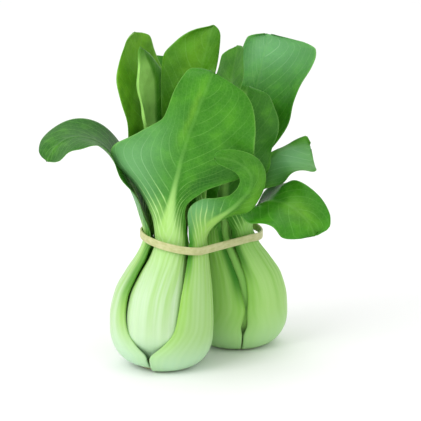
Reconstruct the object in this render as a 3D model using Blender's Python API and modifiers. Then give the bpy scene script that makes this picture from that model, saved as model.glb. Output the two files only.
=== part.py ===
"""A bunch of bok choy: two heads held by one rubber band, standing on their cut ends.

Metres, +Z up, origin on the surface under the middle of the bunch, front towards -Y.
Each head is a short stem with leaves round it. A leaf is one piece: a broad stalk that
wraps round the head up to the neck, then a blade. Stalks lie in rings, ring 0 outermost.
"""

import math
from dataclasses import dataclass

import bmesh
import bpy
import numpy as np

MM = 0.001

# Heads: heights, and the outline that the outer stalks follow
Z_BULB = 28 * MM
Z_NECK = 72 * MM
OUTLINE_Z = np.array([0, 28, 42, 54, 63, 72, 90]) * MM
OUTLINE_R = np.array([29.2, 29.2, 27.6, 23.6, 20.0, 18, 18]) * MM
HEADS_APART = 0.9 * MM
HEADS_LINE = math.radians(45)
BUNCH_MIDDLE = np.array([8.65, -0.8]) * MM
SIDE_OF = {"front": -1, "rear": 1}

# Rings of stalks: where a ring's stalks root on the stem, and how deep they lie in the head
ROOT_Z = np.array([0, 4.4, 8.8, 13.0]) * MM
ROOT_R = np.array([13.5, 11.3, 9.0, 8.1]) * MM
ROOT_RISE = 20 * MM  # height over which a stalk swells from its root to the bulb
FOOT_Z = 9 * MM  # up to here a stalk keeps to its place round the stem
DEPTH_AT_BULB = np.array([0, 6.6, 12.4, 17.4]) * MM
DEPTH_AT_NECK = np.array([0, 4.6, 8.6, 11.8]) * MM

# Stalks: half the angle that one spans round its head, in degrees, by height
SPAN_Z = np.array([0, 10, 17, 25, 36, 52, 72]) * MM
OUTER_SPAN = np.array([58, 58, 49, 42, 38, 35, 31])
INNER_SPAN = np.array([50, 49, 48, 46, 44, 40, 36])
EDGE_DIP = 1.0 * MM  # how far a stalk's margins lie in from its round outline
BULGE_RISE = 18 * MM  # height over which a stalk's bulge and dip set in
BULGE_AT_NECK = 0.7

# Thickness: at the root, over the bulb, at the neck, then of the rib that runs up the blade
ROOT_THICK = 3.4 * MM
THICK_AT = (0, 0.12, 0.5, 1)
STALK_THICK = np.array([6.0, 5.0, 4.2, 3.4]) * MM
NECK_THICK = np.array([4.0, 3.4, 2.8, 2.4]) * MM
RIB_THICK_AT = ((0, 1), (0.2, 0.62), (0.5, 0.36), (1, 0.2))
STALK_EDGE = 1.3 * MM
BLADE_THICK = 0.75 * MM
RIB_HALF_AT = ((0, 9), (0.15, 6.5), (0.35, 3.5), (0.7, 2.2), (1, 1.6))
RIB_STANDS_OUT = 0.6  # share of the rib's thickness that stands out of the blade

# Blade outlines: places along the blade, and at each the share of the way from the neck's
# half width to the blade's full one
OUTLINES = {
    "round": ((0, 0), (0.1, 0.08), (0.3, 0.62), (0.55, 1), (0.78, 0.86), (0.9, 0.58), (0.97, 0.3), (1, -0.1)),
    "cornered": (
        (0, 0), (0.1, 0.1), (0.24, 0.66), (0.38, 1), (0.54, 0.54), (0.66, 0.22), (0.85, 0.15), (0.95, 0.1),
        (1, -0.1),
    ),
    "late": (
        (0, 0), (0.2, -0.12), (0.34, 0.15), (0.48, 0.85), (0.57, 1), (0.77, 0.85), (0.9, 0.6), (0.96, 0.35),
        (1, -0.05),
    ),
    "peaked": ((0, 0), (0.12, -0.1), (0.35, 0.25), (0.6, 0.75), (0.8, 1), (0.88, 0.75), (0.94, 0.4), (1, -0.3)),
    "early": ((0, 0), (0.12, 0.25), (0.28, 0.75), (0.5, 1), (0.75, 0.85), (0.9, 0.55), (1, -0.1)),
    "spread": (
        (0, 0), (0.07, 0.3), (0.18, 0.7), (0.36, 1), (0.6, 0.95), (0.8, 0.8), (0.93, 0.5), (1, -0.1),
    ),
    "broad": ((0, 0), (0.1, 0.9), (0.2, 1.4), (0.32, 1.3), (0.5, 1), (0.75, 0.85), (0.9, 0.55), (1, -0.1)),
    "lance": ((0, 0), (0.1, 0.1), (0.3, 0.7), (0.5, 1), (0.7, 0.8), (0.85, 0.35), (0.95, -0.1), (1, -0.5)),
    "hooked": (
        (0, 0), (0.06, 0.25), (0.16, 1), (0.25, 0.85), (0.36, 0.1), (0.46, -0.4), (0.7, -0.55), (0.88, -0.75),
        (1, -1),
    ),
    "narrowing": (
        (0, 0), (0.2, 0.25), (0.35, 0.15), (0.5, 0.05), (0.75, 0.25), (0.9, 0.6), (1, 1),
    ),
    "flared": ((0, 0), (0.14, -0.1), (0.35, 0.3), (0.6, 0.66), (0.82, 1), (0.93, 0.92), (1, 0.2)),
    "last": ((0, 0), (0.3, 0.14), (0.5, 0.26), (0.68, 0.8), (0.82, 1), (0.93, 0.92), (1, 0.2)),
}
TIP_HALF = 1.8 * MM
FOLD_FROM = 0.55  # share of the half width where a folded margin starts to turn in

# Places along the blade between which these set in
THINNING = (0, 0.2)
RIB_LEAVES = (0, 0.15)
BULGE_ENDS = (0, 0.3)
FOLD_SETS_IN = (0.25, 0.45)
WAVE_SETS_IN = (0.1, 0.4)
WAVE_SHIFT = 1.9  # between the waves of the two margins, in radians

# Stem
STEM_RADIUS = 13.1 * MM
STEM_TAPER = 0.56
STEM_TOP = 20 * MM
STEM_SIDES = 24

# Rubber band
BAND_WIDTH = 4.5 * MM
BAND_THICK = 1.1 * MM
BAND_CLEAR = 1.15 * MM
BAND_HEIGHT = 70 * MM
BAND_TILT = 3.8 * MM
BAND_STEPS = 64

# Steps in which a leaf's midline and its sections are worked out
FINE_STALK = 60
FINE_BLADE = 90
SECTION_STEPS = 25

# Spacing of the grid's rows and columns: over 1 is closer at the root, the tip and the rib
STALK_SPACING = 1.4
TIP_SPACING = 1.25
RIB_SPACING = 1.15

COLOURS = {
    "outer_leaf": (0.42, 0.62, 0.24, 1),
    "inner_leaf": (0.30, 0.52, 0.16, 1),
    "stem": (0.80, 0.88, 0.66, 1),
    "band": (0.72, 0.62, 0.36, 1),
}


@dataclass
class Leaf:
    """Angles in degrees and lengths in millimetres. Side values go with the left and the
    right as the leaf is seen from outside its head. A set of four holds the value at each
    quarter of the blade, and each starts from nothing at the neck."""

    name: str
    head: str
    ring: int
    azimuth: tuple  # of the stalk's middle round its head, at foot, bulb and neck
    length: float  # of the blade
    half: tuple  # blade's half width, left and right
    lean: tuple  # outwards from upright
    turn: tuple = (0, 0, 0, 0)  # of the way it leans, round the upright
    sway: tuple = (0, 0, 0, 0)  # sideways bend, to the right
    roll: tuple = (0, 0, 0, 0)  # twist about its own length
    cup: float = 60  # radius that the blade is cupped to
    opened: tuple = (0.5, 0.5)  # places along the blade where each side has that radius
    fold: tuple = (0, 0)  # how far each margin is folded in
    wave: float = 2.0
    waves: float = 2.5
    phase: float = 0.0
    broad: tuple = (1, 1)  # stalk's span against its ring's, at bulb and neck
    raised: float = 0.0  # how far its root lies above its ring's
    bulge: float = 0.0  # of the stalk's middle, outwards
    bulge_span: float = 1.0  # share of the stalk that bulges
    outline: tuple = ("round", "round")
    columns: int = 8
    stalk_rows: int = 10
    blade_rows: int = 10


LEAVES = (
    Leaf("leaf_front_left", "front", 0, (192, 181, 176), 95, (26, 18), (23, 35, 86, 160),
         turn=(-4, -2, 16, 38), roll=(0, 2, 4, 4), cup=140, opened=(0.5, 0.8), raised=1.8,
         outline=("early", "last")),
    Leaf("leaf_front_curled", "front", 0, (312.5, 327, 329), 86, (16.5, 3), (54, 34, 19, 12),
         turn=(-28, -40, -44, -44), sway=(25, 26, -44, -84), cup=80, wave=1.5,
         outline=("hooked", "narrowing")),
    Leaf("leaf_front_back", "front", 0, (74, 75, 100), 98, (12, 24), (12, 18, 22, 26),
         turn=(10, 16, 16, 16), cup=50),
    Leaf("leaf_front_face", "front", 1, (253, 255, 253), 104, (41, 38.5), (9, 6, 0, -4),
         sway=(12, 17, 21, 21), cup=170, opened=(0.33, 0.5), wave=3, phase=1.0,
         broad=(1.18, 1.33), raised=1.2, bulge=5.2, outline=("cornered", "late")),
    Leaf("leaf_front_right", "front", 1, (20, 20, 5), 113, (15, 10), (10, 16, 16, 10),
         turn=(-15, -35, -45, -50), cup=45, bulge=3, bulge_span=0.36),
    Leaf("leaf_front_left_back", "front", 1, (130, 132, 140), 113, (20, 20), (10, 13, 9, 2),
         cup=60, raised=1.2, bulge=3, bulge_span=0.38, outline=("round", "round")),
    Leaf("leaf_front_folded", "front", 2, (190, 190, 196), 108, (21, 8.5), (8, 9, 6, 2),
         turn=(-36, -40, -40, -40), fold=(0, 75), cup=40, raised=0.8, outline=("peaked", "lance")),
    Leaf("leaf_front_tall", "front", 2, (65, 65, 78), 119, (10, 22), (2, 4, 6, 8),
         sway=(-4, -9, -13, -14), cup=60, outline=("lance", "peaked")),
    Leaf("leaf_front_heart", "front", 3, (300, 300, 300), 56, (9, 9), (0, -2, -4, -4), cup=9,
         columns=6, stalk_rows=7, blade_rows=7),
    Leaf("leaf_rear_right", "rear", 0, (336, 323, 319), 67, (22.5, 17), (52, 84, 114, 164),
         turn=(-7, -7, 3, 8), roll=(-10, -26, -30, -25), cup=60, outline=("spread", "broad")),
    Leaf("leaf_rear_top", "rear", 0, (96, 84, 60), 106, (41, 17), (13, 23, 26, 24), cup=60,
         outline=("flared", "round")),
    Leaf("leaf_rear_left", "rear", 0, (218, 239, 236), 28, (10, 8), (0, 0, 0, 4), cup=30,
         columns=6, blade_rows=6),
    Leaf("leaf_rear_front", "rear", 1, (284, 284, 272), 84, (8, 26), (2, 2, 0, 0),
         sway=(4, 10, 14, 14), cup=40, bulge=3, bulge_span=0.36),
    Leaf("leaf_rear_side", "rear", 1, (27, 25, 5), 64, (27, 4), (17, 36, 66, 104),
         turn=(8, 12, 13, 13), roll=(-10, -26, -30, -30), cup=50, bulge=3, bulge_span=0.36,
         outline=("flared", "late")),
    Leaf("leaf_rear_back", "rear", 1, (142, 142, 126), 100, (18, 14), (10, 20, 28, 38),
         cup=50, bulge=3, bulge_span=0.38),
    Leaf("leaf_rear_folded", "rear", 2, (50, 50, 40), 74, (18, 16), (8, 18, 22, 22), fold=(0, 40), cup=30),
    Leaf("leaf_rear_inner", "rear", 2, (170, 170, 170), 60, (11, 11), (0, -2, -2, -2), cup=20,
         columns=6, blade_rows=8),
    Leaf("leaf_rear_heart", "rear", 3, (290, 290, 290), 50, (9, 9), (0, -2, -4, -4), cup=9,
         columns=6, stalk_rows=7, blade_rows=7),
)


def rising(x, start, end):
    """0 up to start, 1 from end on, with level ends between."""
    x = np.clip((x - start) / (end - start), 0, 1)
    return x * x * (3 - 2 * x)


def smooth(x, xs, ys):
    """A smooth curve through the points (xs, ys) that never overshoots them."""
    xs, ys = np.asarray(xs, float), np.asarray(ys, float)
    step = np.diff(ys) / np.diff(xs)
    slope = np.zeros_like(ys)
    both = step[:-1] * step[1:]
    total = step[:-1] + step[1:]
    slope[1:-1] = np.where(both > 0, 2 * both / np.where(total == 0, 1, total), 0)
    slope[0], slope[-1] = step[0], step[-1]
    x = np.clip(x, xs[0], xs[-1])
    i = np.clip(np.searchsorted(xs, x) - 1, 0, len(xs) - 2)
    gap = xs[i + 1] - xs[i]
    t = (x - xs[i]) / gap
    return (
        ys[i] * (1 + 2 * t) * (1 - t) ** 2
        + ys[i + 1] * t * t * (3 - 2 * t)
        + gap * slope[i] * t * (1 - t) ** 2
        - gap * slope[i + 1] * t * t * (1 - t)
    )


def quarters(t, four):
    """A set of four values along the blade, from nothing at the neck."""
    return smooth(t, (0, 0.25, 0.5, 0.75, 1), (0, *four))


def unit(v):
    return v / np.linalg.norm(v, axis=-1, keepdims=True)


def outline_radius(z):
    """Outer radius of a head at height z, above the bulb's rounded foot."""
    return smooth(z, OUTLINE_Z, OUTLINE_R)


def head_centre(head, z):
    """The middle of a head at height z: upright below the bulb, then drawn to its neighbour."""
    away = outline_radius(np.maximum(z, Z_BULB)) + HEADS_APART / 2
    line = np.array([math.cos(HEADS_LINE), math.sin(HEADS_LINE)])
    return BUNCH_MIDDLE + SIDE_OF[head] * np.multiply.outer(away, line)


def stalk_path(leaf):
    """Midline of the stalk, from its root on the stem to the neck."""
    ring = leaf.ring
    share = np.linspace(0, 1, FINE_STALK)
    foot = ROOT_Z[ring] + leaf.raised * MM
    high = share**STALK_SPACING
    z = foot + (Z_NECK - foot) * high
    depth = smooth(z, (Z_BULB, Z_NECK), (DEPTH_AT_BULB[ring], DEPTH_AT_NECK[ring]))
    swell = np.sqrt(1 - (1 - np.clip((z - foot) / ROOT_RISE, 0, 1)) ** 2)
    radius = ROOT_R[ring] + (outline_radius(z) - depth - ROOT_R[ring]) * swell
    root, bulb, neck = leaf.azimuth
    azimuth = np.radians(smooth(z, (0, FOOT_Z, Z_BULB, Z_NECK), (root, root, bulb, neck)))
    level = np.zeros_like(z)
    out = np.stack([np.cos(azimuth), np.sin(azimuth), level], 1)
    side = np.stack([-np.sin(azimuth), np.cos(azimuth), level], 1)
    place = out * radius[:, None]
    place[:, :2] += head_centre(leaf.head, z)
    place[:, 2] = z
    span = smooth(z, SPAN_Z, OUTER_SPAN if ring == 0 else INNER_SPAN)
    broad = smooth(z, (FOOT_Z, Z_BULB, Z_NECK), (1, *leaf.broad))
    half = np.radians(span * broad) * radius
    thick = smooth(high, THICK_AT, (ROOT_THICK, STALK_THICK[ring], STALK_THICK[ring], NECK_THICK[ring]))
    set_in = rising(z, foot, foot + BULGE_RISE)
    return {
        "place": place,
        "out": out,
        "side": side,
        "left": half,
        "right": half,
        "bend_left": 1 / radius,
        "bend_right": 1 / radius,
        "bulge": leaf.bulge * MM * set_in * (1 - (1 - BULGE_AT_NECK) * rising(high, 0, 1)),
        "dip": EDGE_DIP * set_in,
        "blade": level,
        "thick": thick,
        "edge": np.full_like(z, STALK_EDGE),
        "rib": half,
    }


def blade_path(leaf, stalk):
    """Midline of the blade, from the neck on to the tip."""
    t = np.linspace(0, 1, FINE_BLADE + 1)[1:]
    lean = np.radians(quarters(t, leaf.lean))
    sway = np.radians(quarters(t, leaf.sway))
    roll = np.radians(quarters(t, leaf.roll))[:, None]
    heading = np.radians(leaf.azimuth[2] + quarters(t, leaf.turn))
    level = np.zeros_like(t)
    up = np.array([0.0, 0.0, 1.0])
    away = np.stack([np.cos(heading), np.sin(heading), level], 1)
    across = np.stack([-np.sin(heading), np.cos(heading), level], 1)
    upright = up * np.cos(sway)[:, None] + across * np.sin(sway)[:, None]
    along = unit(away * np.sin(lean)[:, None] + upright * np.cos(lean)[:, None])
    place = stalk["place"][-1] + np.cumsum(along, 0) * leaf.length * MM / FINE_BLADE
    flat = upright * -np.sin(lean)[:, None] + away * np.cos(lean)[:, None]
    side = np.cross(along, flat)
    side, out = side * np.cos(roll) + flat * np.sin(roll), flat * np.cos(roll) - side * np.sin(roll)
    neck = stalk["left"][-1]
    left, right = (
        np.maximum(neck + (half * MM - neck) * smooth(t, *zip(*OUTLINES[kind])), TIP_HALF)
        for half, kind in zip(leaf.half, leaf.outline)
    )
    bend = []
    for opened in leaf.opened:
        cupped = rising(t, 0, opened)
        bend.append(stalk["bend_left"][-1] * (1 - cupped) + cupped / (leaf.cup * MM))
    thick = NECK_THICK[leaf.ring] * smooth(t, *zip(*RIB_THICK_AT))
    return {
        "place": place,
        "out": out,
        "side": side,
        "left": left,
        "right": right,
        "bend_left": bend[0],
        "bend_right": bend[1],
        "bulge": stalk["bulge"][-1] * (1 - rising(t, *BULGE_ENDS)),
        "dip": np.full_like(t, EDGE_DIP),
        "blade": t,
        "thick": np.maximum(thick, BLADE_THICK),
        "edge": STALK_EDGE + (BLADE_THICK - STALK_EDGE) * rising(t, *THINNING),
        "rib": np.minimum(smooth(t, *zip(*RIB_HALF_AT)) * MM, neck),
    }


def leaf_surface(leaf, along, across):
    """Points on the outer face, and the thickness there. along runs 0 to 1 up the stalk and
    1 to 2 up the blade; across runs -1 to 1 from the left margin to the right."""
    stalk = stalk_path(leaf)
    blade = blade_path(leaf, stalk)
    fine = np.concatenate([np.linspace(0, 1, FINE_STALK), 1 + blade["blade"]])
    path = {}
    for key in stalk:
        values = np.concatenate([stalk[key], blade[key]])
        if values.ndim == 1:
            path[key] = np.interp(along, fine, values)
        else:
            path[key] = np.stack([np.interp(along, fine, column) for column in values.T], 1)
    out, side = unit(path["out"]), unit(path["side"])
    t = path["blade"]
    hand = np.sign(across)
    v = np.abs(across)
    half = np.where(across < 0, path["left"], path["right"])
    fold = np.where(across < 0, *leaf.fold) * rising(t, *FOLD_SETS_IN)

    share = np.linspace(0, 1, SECTION_STEPS)[:, None] * v
    angle = np.where(across < 0, path["bend_left"], path["bend_right"]) * half * share
    angle = angle + np.radians(fold) * rising(share, FOLD_FROM, 1)
    weight = np.ones((SECTION_STEPS, 1))
    weight[[0, -1]] = 0.5
    weight /= weight.sum()
    sideways = hand * (np.cos(angle) * weight).sum(0) * v * half
    inwards = (np.sin(angle) * weight).sum(0) * v * half
    facing = out * np.cos(angle[-1])[:, None] + side * (hand * np.sin(angle[-1]))[:, None]

    body = np.clip(1 - (v * half / path["rib"]) ** 2, 0, 1)
    thick = path["edge"] + (path["thick"] - path["edge"]) * body
    on_stalk = 1 - rising(t, *RIB_LEAVES)
    stands = RIB_STANDS_OUT * (thick - path["edge"]) * (1 - on_stalk)
    stands += path["bulge"] * np.clip(1 - (v / leaf.bulge_span) ** 3, 0, 1) ** 1.5
    stands -= path["dip"] * v**2 * on_stalk
    ripple = np.sin(2 * math.pi * leaf.waves * t + leaf.phase + np.where(across < 0, 0, WAVE_SHIFT))
    stands += leaf.wave * MM * v**3 * ripple * rising(t, *WAVE_SETS_IN)
    points = path["place"] + side * sideways[:, None] - out * inwards[:, None]
    return points + facing * stands[:, None], thick


def material(name):
    made = bpy.data.materials.get(name)
    if made is None:
        made = bpy.data.materials.new(name)
        made.use_nodes = True
        shader = made.node_tree.nodes["Principled BSDF"]
        shader.inputs["Base Color"].default_value = COLOURS[name]
        shader.inputs["Roughness"].default_value = 0.5
        shader.inputs["Metallic"].default_value = 0.0
    return made


def add_object(name, bm, colour, collection):
    mesh = bpy.data.meshes.new(name)
    bm.to_mesh(mesh)
    bm.free()
    mesh.shade_smooth()
    mesh.materials.append(material(colour))
    made = bpy.data.objects.new(name, mesh)
    collection.objects.link(made)
    return made


def row_place(share, leaf):
    """Where a row of the grid lies on the leaf, with rows closer together near the tip."""
    rows = leaf.stalk_rows + leaf.blade_rows
    row = share * rows
    on_blade = np.clip((row - leaf.stalk_rows) / leaf.blade_rows, 0, 1)
    return np.where(row < leaf.stalk_rows, row / leaf.stalk_rows, 2 - (1 - on_blade) ** TIP_SPACING)


def add_leaf(leaf, collection):
    """A flat grid laid on the leaf's outer face, then thickened inwards."""
    bm = bmesh.new()
    bmesh.ops.create_grid(bm, x_segments=leaf.columns, y_segments=leaf.stalk_rows + leaf.blade_rows, size=1)
    flat = np.array([vert.co[:2] for vert in bm.verts])
    along = row_place((flat[:, 1] + 1) / 2, leaf)
    across = np.sign(flat[:, 0]) * np.abs(flat[:, 0]) ** RIB_SPACING
    points, thick = leaf_surface(leaf, along, across)
    for vert, point in zip(bm.verts, points):
        vert.co = point
    made = add_object(leaf.name, bm, "outer_leaf" if leaf.ring == 0 else "inner_leaf", collection)
    group = made.vertex_groups.new(name="thickness")
    most = float(thick.max())
    for index, value in enumerate(thick):
        group.add([index], float(value) / most, "REPLACE")
    made.modifiers.new("split_alike", "TRIANGULATE")
    shell = made.modifiers.new("thickness", "SOLIDIFY")
    shell.thickness = most
    shell.offset = -1
    shell.vertex_group = "thickness"
    return made


def add_stem(head, collection):
    """The short stem that the stalks grow from, cut flat underneath."""
    top = STEM_RADIUS - STEM_TAPER * STEM_TOP
    rounding = [math.radians(a) for a in (0, 30, 60)]
    profile = [(0, STEM_TOP + top)]
    profile += [(top * math.sin(math.pi / 2 - a), STEM_TOP + top * math.sin(a)) for a in reversed(rounding)]
    profile += [(STEM_RADIUS, 0), (0, 0)]
    bm = bmesh.new()
    verts = [bm.verts.new((r, 0, z)) for r, z in profile]
    for a, b in zip(verts, verts[1:]):
        bm.edges.new((a, b))
    made = add_object(f"stem_{head}", bm, "stem", collection)
    made.location[:2] = head_centre(head, 0.0)
    turned = made.modifiers.new("turned", "SCREW")
    turned.steps = turned.render_steps = STEM_SIDES
    turned.use_merge_vertices = True
    turned.merge_threshold = 0.00005
    return made


def band_path():
    """Points round both necks, as a stretched band lies, with the outward direction at each."""
    around = np.linspace(0, 2 * math.pi, BAND_STEPS, endpoint=False)
    outward = np.stack([np.cos(around), np.sin(around)], 1)
    line = np.array([math.cos(HEADS_LINE), math.sin(HEADS_LINE)])
    on_rear = outward @ line > 0
    points = []
    for out, rear in zip(outward, on_rear):
        height = BAND_HEIGHT - BAND_TILT * out[0]
        centre = head_centre("rear" if rear else "front", height - BAND_WIDTH / 2)
        radius = outline_radius(height - BAND_WIDTH / 2) + BAND_CLEAR
        points.append((*(centre + out * radius), height))
    return np.array(points), outward


def add_band(collection):
    points, outward = band_path()
    bm = bmesh.new()
    rows = [
        [bm.verts.new((x, y, z + side * BAND_WIDTH / 2)) for x, y, z in points]
        for side in (-1, 1)
    ]
    for i in range(BAND_STEPS):
        j = (i + 1) % BAND_STEPS
        bm.faces.new((rows[0][i], rows[0][j], rows[1][j], rows[1][i]))
    made = add_object("rubber_band", bm, "band", collection)
    shell = made.modifiers.new("thickness", "SOLIDIFY")
    shell.thickness = BAND_THICK
    shell.offset = 1
    return made


def main():
    for old in list(bpy.data.objects):
        bpy.data.objects.remove(old)
    bunch = bpy.data.collections.new("bok_choy_bunch")
    bpy.context.scene.collection.children.link(bunch)
    for head in SIDE_OF:
        add_stem(head, bunch)
    for leaf in LEAVES:
        add_leaf(leaf, bunch)
    add_band(bunch)


main()
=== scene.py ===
"""A bunch of bok choy: ribbed pale stalks, veined blades, cut stems and a rubber band.

Metres, +Z up, front towards -Y. Each leaf is laid out by the same rule as its solid, then
given its ribs, veins and crinkles. Lengths in a leaf's own values are in millimetres.
"""

import math
import zlib
from dataclasses import dataclass

import bmesh
import bpy
import numpy as np
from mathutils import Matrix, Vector


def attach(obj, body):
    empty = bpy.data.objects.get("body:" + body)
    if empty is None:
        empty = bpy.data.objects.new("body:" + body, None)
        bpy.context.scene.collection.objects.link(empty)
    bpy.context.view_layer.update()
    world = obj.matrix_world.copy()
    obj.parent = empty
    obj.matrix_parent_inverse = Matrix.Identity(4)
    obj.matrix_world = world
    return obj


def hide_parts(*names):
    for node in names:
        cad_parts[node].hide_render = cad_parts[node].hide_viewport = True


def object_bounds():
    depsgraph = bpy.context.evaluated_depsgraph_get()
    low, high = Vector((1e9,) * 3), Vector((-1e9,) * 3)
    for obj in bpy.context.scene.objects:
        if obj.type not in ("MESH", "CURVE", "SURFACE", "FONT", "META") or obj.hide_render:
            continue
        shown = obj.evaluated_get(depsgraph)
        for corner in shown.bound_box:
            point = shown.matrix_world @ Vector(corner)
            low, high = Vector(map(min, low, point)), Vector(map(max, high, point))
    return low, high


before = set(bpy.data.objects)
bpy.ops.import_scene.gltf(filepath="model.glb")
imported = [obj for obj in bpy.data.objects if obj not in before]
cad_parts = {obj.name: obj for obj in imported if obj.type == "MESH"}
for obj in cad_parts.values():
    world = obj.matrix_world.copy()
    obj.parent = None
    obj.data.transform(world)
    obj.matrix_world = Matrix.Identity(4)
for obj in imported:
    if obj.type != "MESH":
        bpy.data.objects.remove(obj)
cad_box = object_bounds()

MM = 0.001
BODY = "root"

# Heads: heights, and the outline that the outer stalks follow
Z_BULB = 28 * MM
Z_NECK = 72 * MM
OUTLINE_Z = np.array([0, 28, 42, 54, 63, 72, 90]) * MM
OUTLINE_R = np.array([29.2, 29.2, 27.6, 23.6, 20.0, 18, 18]) * MM
HEADS_APART = 0.9 * MM
HEADS_LINE = math.radians(45)
BUNCH_MIDDLE = np.array([8.65, -0.8]) * MM
SIDE_OF = {"front": -1, "rear": 1}

# Rings of stalks: where a ring's stalks root on the stem, and how deep they lie in the head
ROOT_Z = np.array([0, 4.4, 8.8, 13.0]) * MM
ROOT_R = np.array([13.5, 11.3, 9.0, 8.1]) * MM
ROOT_RISE = 20 * MM  # height over which a stalk swells from its root to the bulb
FOOT_Z = 9 * MM  # up to here a stalk keeps to its place round the stem
DEPTH_AT_BULB = np.array([0, 6.6, 12.4, 17.4]) * MM
DEPTH_AT_NECK = np.array([0, 4.6, 8.6, 11.8]) * MM

# Stalks: half the angle that one spans round its head, in degrees, by height
SPAN_Z = np.array([0, 10, 17, 25, 36, 52, 72]) * MM
OUTER_SPAN = np.array([58, 58, 49, 42, 38, 35, 31])
INNER_SPAN = np.array([50, 49, 48, 46, 44, 40, 36])
EDGE_DIP = 1.0 * MM
BULGE_RISE = 18 * MM
BULGE_AT_NECK = 0.7

# Thickness: at the root, over the bulb, at the neck, then of the rib that runs up the blade
ROOT_THICK = 3.4 * MM
THICK_AT = (0, 0.12, 0.5, 1)
STALK_THICK = np.array([6.0, 5.0, 4.2, 3.4]) * MM
NECK_THICK = np.array([4.0, 3.4, 2.8, 2.4]) * MM
RIB_THICK_AT = ((0, 1), (0.2, 0.62), (0.5, 0.36), (1, 0.2))
STALK_EDGE = 1.3 * MM
BLADE_THICK = 0.45 * MM
RIB_HALF_AT = ((0, 9), (0.15, 6.5), (0.35, 3.5), (0.7, 2.2), (1, 1.6))
RIB_STANDS_OUT = 0.6

# Blade outlines: places along the blade, and at each the share of the way from the neck's
# half width to the blade's full one
OUTLINES = {
    "round": ((0, 0), (0.1, 0.08), (0.3, 0.62), (0.55, 1), (0.78, 0.86), (0.9, 0.58), (0.97, 0.3), (1, -0.1)),
    "cornered": (
        (0, 0), (0.1, 0.1), (0.24, 0.66), (0.38, 1), (0.54, 0.54), (0.66, 0.22), (0.85, 0.15), (0.95, 0.1),
        (1, -0.1),
    ),
    "late": (
        (0, 0), (0.2, -0.12), (0.34, 0.15), (0.48, 0.85), (0.57, 1), (0.77, 0.85), (0.9, 0.6), (0.96, 0.35),
        (1, -0.05),
    ),
    "peaked": (
        (0, 0), (0.12, -0.1), (0.35, 0.25), (0.6, 0.75), (0.8, 1), (0.88, 0.75), (0.94, 0.4), (1, -0.3),
    ),
    "early": ((0, 0), (0.12, 0.25), (0.28, 0.75), (0.5, 1), (0.75, 0.85), (0.9, 0.55), (1, -0.1)),
    "spread": (
        (0, 0), (0.07, 0.3), (0.18, 0.7), (0.36, 1), (0.6, 0.95), (0.8, 0.8), (0.93, 0.5), (1, -0.1),
    ),
    "broad": ((0, 0), (0.1, 0.9), (0.2, 1.4), (0.32, 1.3), (0.5, 1), (0.75, 0.85), (0.9, 0.55), (1, -0.1)),
    "lance": ((0, 0), (0.1, 0.1), (0.3, 0.7), (0.5, 1), (0.7, 0.8), (0.85, 0.35), (0.95, -0.1), (1, -0.5)),
    "hooked": (
        (0, 0), (0.06, 0.25), (0.16, 1), (0.25, 0.85), (0.36, 0.1), (0.46, -0.4), (0.7, -0.55), (0.88, -0.75),
        (1, -1),
    ),
    "narrowing": (
        (0, 0), (0.2, 0.25), (0.35, 0.15), (0.5, 0.05), (0.75, 0.25), (0.9, 0.6), (1, 1),
    ),
    "flared": ((0, 0), (0.14, -0.1), (0.35, 0.3), (0.6, 0.66), (0.82, 1), (0.93, 0.92), (1, 0.2)),
    "last": ((0, 0), (0.3, 0.14), (0.5, 0.26), (0.68, 0.8), (0.82, 1), (0.93, 0.92), (1, 0.2)),
}
TIP_HALF = 1.8 * MM
TIP_ROUND_FROM = 0.965
FOLD_FROM = 0.55

# Places along the blade between which these set in
THINNING = (0, 0.2)
RIB_LEAVES = (0, 0.15)
BULGE_ENDS = (0, 0.3)
FOLD_SETS_IN = (0.25, 0.45)
WAVE_SETS_IN = (0.1, 0.4)
WAVE_SHIFT = 1.9

# The outer ring's stalks close in on the next ring with their margins: how far, and from what
# share of the half width
HUG = 1.1 * MM
HUG_FROM = 0.7

# Ribs of the stalk, which go on as the veins of the blade
STALK_RIBS = 5.5  # on each side of the middle
VEIN_STEP = 8.0 * MM  # along the midrib
VEIN_CLIMB = 1.2  # how far up the blade a vein comes out at the margin, in blade half widths
VEIN_CURVE = 1.25
RIB_FLATTENS = 0.08
VEIN_WANDER = 0.16

# Relief in metres
RIB_RELIEF = {0: 0.26 * MM, 1: 0.12 * MM, 2: 0.15 * MM, 3: 0.1 * MM}
VEIN_RELIEF = 0.30 * MM
VEIN_GROOVE = 0.5
QUILTING = 0.22 * MM
CRINKLE = 0.55 * MM
# Share of the crinkle on leaves whose blades lie close to a neighbour
CALMER = {"leaf_front_left": 0.3, "leaf_front_face": 0.8}

# How far all leaves stay inside the box that the solids fill
BOX_CLEAR = 0.05 * MM

# Grid of a leaf
GRID_STEP = 1.0 * MM
FINE_STALK = 60
FINE_BLADE = 90
SECTION_STEPS = 25
STALK_SPACING = 1.4
COLUMNS_CROWD = 1.1  # above 1, the grid's columns lie closer at the midrib
MARGIN_THIN = 0.45  # thickness left at a blade's margin, as a share


# Stem
STEM_RADIUS = 13.1 * MM
STEM_TAPER = 0.56
STEM_TOP = 20 * MM
STEM_AROUND = 96
STEM_RINGS = 15
CUT_DISH = 0.35 * MM  # how far the cut end is hollowed at its middle

# Rubber band
BAND_WIDTH = 4.5 * MM
BAND_THICK = 1.1 * MM
BAND_CLEAR = 1.15 * MM
BAND_HEIGHT = 70 * MM
BAND_TILT = 3.8 * MM
BAND_STEPS = 240
BAND_ALONG = 360
BAND_ROUND = 20
BAND_TWIST = math.radians(86)  # where it spans between the heads
BAND_FIT = (0.75, 0.25)  # share of the clearance, less this much towards the right

# Colours that all leaves share
# Yellower colour: a leaf's own tone, and also painted highlights
YELLOWER_AND_PAINTED_LIGHT = (0.17, 0.42, 0.02, 1)
# Darker colour: a leaf's own tone, and also painted shade
DARKER_AND_PAINTED_SHADE = (0.012, 0.09, 0.004, 1)
# Colour of veins inside a patch of painted sheen
PAINTED_SHEEN_VEIN = (0.42, 0.70, 0.40, 1)
PALE_SIDE = (0.34, 0.68, 0.15, 1)
BROWNED_FOOT = (0.50, 0.47, 0.26, 1)

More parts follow.
